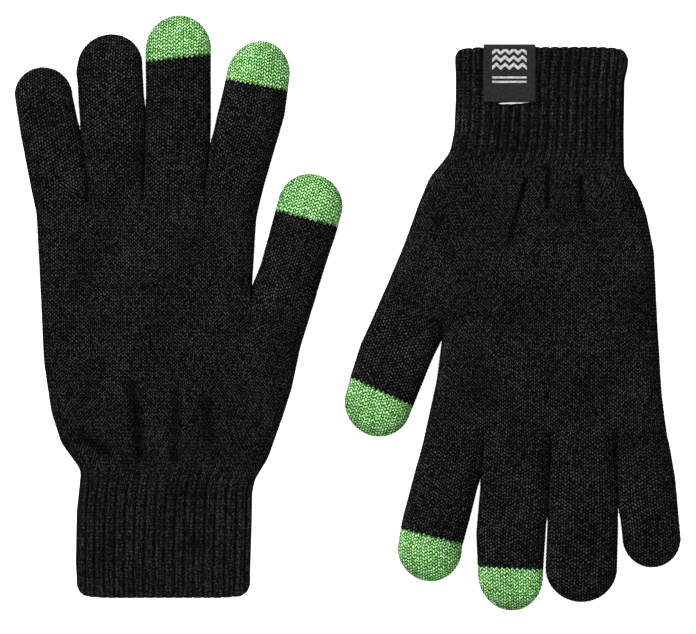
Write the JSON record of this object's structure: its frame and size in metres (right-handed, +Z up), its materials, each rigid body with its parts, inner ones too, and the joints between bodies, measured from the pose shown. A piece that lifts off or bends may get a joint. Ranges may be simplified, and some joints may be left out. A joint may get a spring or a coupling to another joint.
{
  "type": "touchscreen gloves",
  "caption": "Pair of black knitted gloves with ribbed cuffs and green conductive tips on thumb, index and middle fingers, lying flat; every finger, thumb and cuff bends.",
  "frame": {"origin": "centre of the pair's footprint, on the surface the gloves lie on", "axes": "+X from the right-hand glove to the left-hand one, +Y along the fingers of the right-hand glove, +Z up"},
  "size_m": [0.2696, 0.24, 0.013],
  "materials": {
    "black_knit": "matte fine-gauge knit",
    "green_touch_knit": "bright conductive yarn, fine-gauge knit",
    "woven_label": "smooth woven polyester"
  },
  "bodies": {
    "right_hand": {"right_palm": "black_knit"},
    "right_wristband": {"right_cuff": "black_knit"},
    "right_index_base": {"right_index_proximal": "black_knit"},
    "right_index_middle_part": {"right_index_medial": "black_knit"},
    "right_index_end": {"right_index_distal": "black_knit", "right_index_touch_tip": "green_touch_knit"},
    "right_middle_base": {"right_middle_proximal": "black_knit"},
    "right_middle_middle_part": {"right_middle_medial": "black_knit"},
    "right_middle_end": {"right_middle_distal": "black_knit", "right_middle_touch_tip": "green_touch_knit"},
    "right_ring_base": {"right_ring_proximal": "black_knit"},
    "right_ring_middle_part": {"right_ring_medial": "black_knit"},
    "right_ring_end": {"right_ring_distal": "black_knit"},
    "right_little_base": {"right_little_proximal": "black_knit"},
    "right_little_middle_part": {"right_little_medial": "black_knit"},
    "right_little_end": {"right_little_distal": "black_knit"},
    "right_thumb_base": {"right_thumb_proximal": "black_knit"},
    "right_thumb_end": {"right_thumb_distal": "black_knit", "right_thumb_touch_tip": "green_touch_knit"},
    "left_hand": {"left_palm": "black_knit"},
    "left_wristband": {"left_cuff": "black_knit", "left_label_back": "woven_label"},
    "left_index_base": {"left_index_proximal": "black_knit"},
    "left_index_middle_part": {"left_index_medial": "black_knit"},
    "left_index_end": {"left_index_distal": "black_knit", "left_index_touch_tip": "green_touch_knit"},
    "left_middle_base": {"left_middle_proximal": "black_knit"},
    "left_middle_middle_part": {"left_middle_medial": "black_knit"},
    "left_middle_end": {"left_middle_distal": "black_knit", "left_middle_touch_tip": "green_touch_knit"},
    "left_ring_base": {"left_ring_proximal": "black_knit"},
    "left_ring_middle_part": {"left_ring_medial": "black_knit"},
    "left_ring_end": {"left_ring_distal": "black_knit"},
    "left_little_base": {"left_little_proximal": "black_knit"},
    "left_little_middle_part": {"left_little_medial": "black_knit"},
    "left_little_end": {"left_little_distal": "black_knit"},
    "left_thumb_base": {"left_thumb_proximal": "black_knit"},
    "left_thumb_end": {"left_thumb_distal": "black_knit", "left_thumb_touch_tip": "green_touch_knit"},
    "left_label_leaf": {"left_label_front": "woven_label"}
  },
  "joints": [
    {"name": "right_wrist", "type": "hinge", "parent": "right_hand", "child": "right_wristband", "pos_m": [-0.07433, -0.06545, 0.01], "axis": [-1, 0, 0], "range_deg": [0, 60]},
    {"name": "right_index_knuckle", "type": "hinge", "parent": "right_hand", "child": "right_index_base", "pos_m": [-0.04523, 0.05055, 0.011], "axis": [1, 0, 0], "range_deg": [0, 85]},
    {"name": "right_index_mid_joint", "type": "hinge", "parent": "right_index_base", "child": "right_index_middle_part", "pos_m": [-0.04126, 0.07205, 0.011], "axis": [1, 0, 0], "range_deg": [0, 90]},
    {"name": "right_index_end_joint", "type": "hinge", "parent": "right_index_middle_part", "child": "right_index_end", "pos_m": [-0.03803, 0.08755, 0.011], "axis": [1, 0, 0], "range_deg": [0, 54]},
    {"name": "right_middle_knuckle", "type": "hinge", "parent": "right_hand", "child": "right_middle_base", "pos_m": [-0.07023, 0.05055, 0.011], "axis": [1, 0, 0], "range_deg": [0, 85]},
    {"name": "right_middle_mid_joint", "type": "hinge", "parent": "right_middle_base", "child": "right_middle_middle_part", "pos_m": [-0.06972, 0.07705, 0.011], "axis": [1, 0, 0], "range_deg": [0, 90]},
    {"name": "right_middle_end_joint", "type": "hinge", "parent": "right_middle_middle_part", "child": "right_middle_end", "pos_m": [-0.06958, 0.09805, 0.011], "axis": [1, 0, 0], "range_deg": [0, 54]},
    {"name": "right_ring_knuckle", "type": "hinge", "parent": "right_hand", "child": "right_ring_base", "pos_m": [-0.09433, 0.05055, 0.011], "axis": [1, 0, 0], "range_deg": [0, 85]},
    {"name": "right_ring_mid_joint", "type": "hinge", "parent": "right_ring_base", "child": "right_ring_middle_part", "pos_m": [-0.09419, 0.07455, 0.011], "axis": [1, 0, 0], "range_deg": [0, 90]},
    {"name": "right_ring_end_joint", "type": "hinge", "parent": "right_ring_middle_part", "child": "right_ring_end", "pos_m": [-0.0959, 0.09255, 0.011], "axis": [1, 0, 0], "range_deg": [0, 54]},
    {"name": "right_little_knuckle", "type": "hinge", "parent": "right_hand", "child": "right_little_base", "pos_m": [-0.11718, 0.05055, 0.011], "axis": [1, 0, 0], "range_deg": [0, 85]},
    {"name": "right_little_mid_joint", "type": "hinge", "parent": "right_little_base", "child": "right_little_middle_part", "pos_m": [-0.11968, 0.06955, 0.011], "axis": [1, 0, 0], "range_deg": [0, 90]},
    {"name": "right_little_end_joint", "type": "hinge", "parent": "right_little_middle_part", "child": "right_little_end", "pos_m": [-0.12289, 0.08455, 0.011], "axis": [1, 0, 0], "range_deg": [0, 54]},
    {"name": "right_thumb_base_joint", "type": "hinge", "parent": "right_hand", "child": "right_thumb_base", "pos_m": [-0.02619, 0.00695, 0.011], "axis": [-0.9613, 0.2756, 0], "range_deg": [-75, 0]},
    {"name": "right_thumb_end_joint", "type": "hinge", "parent": "right_thumb_base", "child": "right_thumb_end", "pos_m": [-0.01962, 0.03004, 0.011], "axis": [-0.9613, 0.2756, 0], "range_deg": [-60, 0]},
    {"name": "tagged_left_wrist", "type": "hinge", "parent": "left_hand", "child": "left_wristband", "pos_m": [0.07813, 0.06175, 0], "axis": [-1, 0, 0], "range_deg": [0, 60]},
    {"name": "tagged_left_index_knuckle", "type": "hinge", "parent": "left_hand", "child": "left_index_base", "pos_m": [0.04163, -0.05525, 0], "axis": [1, 0, 0], "range_deg": [0, 85]},
    {"name": "tagged_left_index_mid_joint", "type": "hinge", "parent": "left_index_base", "child": "left_index_middle_part", "pos_m": [0.03828, -0.07375, 0], "axis": [1, 0, 0], "range_deg": [0, 90]},
    {"name": "tagged_left_index_end_joint", "type": "hinge", "parent": "left_index_middle_part", "child": "left_index_end", "pos_m": [0.03545, -0.08525, 0], "axis": [1, 0, 0], "range_deg": [0, 54]},
    {"name": "tagged_left_middle_knuckle", "type": "hinge", "parent": "left_hand", "child": "left_middle_base", "pos_m": [0.06778, -0.05525, 0], "axis": [1, 0, 0], "range_deg": [0, 85]},
    {"name": "tagged_left_middle_mid_joint", "type": "hinge", "parent": "left_middle_base", "child": "left_middle_middle_part", "pos_m": [0.06744, -0.08025, 0], "axis": [1, 0, 0], "range_deg": [0, 90]},
    {"name": "tagged_left_middle_end_joint", "type": "hinge", "parent": "left_middle_middle_part", "child": "left_middle_end", "pos_m": [0.067, -0.09875, 0], "axis": [1, 0, 0], "range_deg": [0, 54]},
    {"name": "tagged_left_ring_knuckle", "type": "hinge", "parent": "left_hand", "child": "left_ring_base", "pos_m": [0.09528, -0.05525, 0], "axis": [1, 0, 0], "range_deg": [0, 85]},
    {"name": "tagged_left_ring_mid_joint", "type": "hinge", "parent": "left_ring_base", "child": "left_ring_middle_part", "pos_m": [0.09508, -0.07825, 0], "axis": [1, 0, 0], "range_deg": [0, 90]},
    {"name": "tagged_left_ring_end_joint", "type": "hinge", "parent": "left_ring_middle_part", "child": "left_ring_end", "pos_m": [0.09508, -0.09625, 0], "axis": [1, 0, 0], "range_deg": [0, 54]},
    {"name": "tagged_left_little_knuckle", "type": "hinge", "parent": "left_hand", "child": "left_little_base", "pos_m": [0.11983, -0.05525, 0], "axis": [1, 0, 0], "range_deg": [0, 85]},
    {"name": "tagged_left_little_mid_joint", "type": "hinge", "parent": "left_little_base", "child": "left_little_middle_part", "pos_m": [0.12142, -0.07375, 0], "axis": [1, 0, 0], "range_deg": [0, 90]},
    {"name": "tagged_left_little_end_joint", "type": "hinge", "parent": "left_little_middle_part", "child": "left_little_end", "pos_m": [0.12271, -0.08825, 0], "axis": [1, 0, 0], "range_deg": [0, 54]},
    {"name": "tagged_left_thumb_base_joint", "type": "hinge", "parent": "left_hand", "child": "left_thumb_base", "pos_m": [0.02417, -0.00489, 0], "axis": [0.9219, -0.3875, 0], "range_deg": [0, 75]},
    {"name": "tagged_left_thumb_end_joint", "type": "hinge", "parent": "left_thumb_base", "child": "left_thumb_end", "pos_m": [0.01597, -0.02531, 0], "axis": [0.9219, -0.3875, 0], "range_deg": [0, 60]},
    {"name": "tagged_left_label_lift", "type": "hinge", "parent": "left_wristband", "child": "left_label_leaf", "pos_m": [0.06518, 0.10915, 0.0104], "axis": [-1, 0, 0], "range_deg": [0, 110]},
    {"name": "tagged_left_glove_lift", "type": "slide", "parent": "right_hand", "child": "left_hand", "axis": [0, 0, 1], "range_m": [0, 0.1]}
  ],
  "couplings": [
    {"joint": "right_index_end_joint", "follows": "right_index_mid_joint", "ratio": 0.6},
    {"joint": "right_middle_end_joint", "follows": "right_middle_mid_joint", "ratio": 0.6},
    {"joint": "right_ring_end_joint", "follows": "right_ring_mid_joint", "ratio": 0.6},
    {"joint": "right_little_end_joint", "follows": "right_little_mid_joint", "ratio": 0.6},
    {"joint": "tagged_left_index_end_joint", "follows": "tagged_left_index_mid_joint", "ratio": 0.6},
    {"joint": "tagged_left_middle_end_joint", "follows": "tagged_left_middle_mid_joint", "ratio": 0.6},
    {"joint": "tagged_left_ring_end_joint", "follows": "tagged_left_ring_mid_joint", "ratio": 0.6},
    {"joint": "tagged_left_little_end_joint", "follows": "tagged_left_little_mid_joint", "ratio": 0.6}
  ]
}
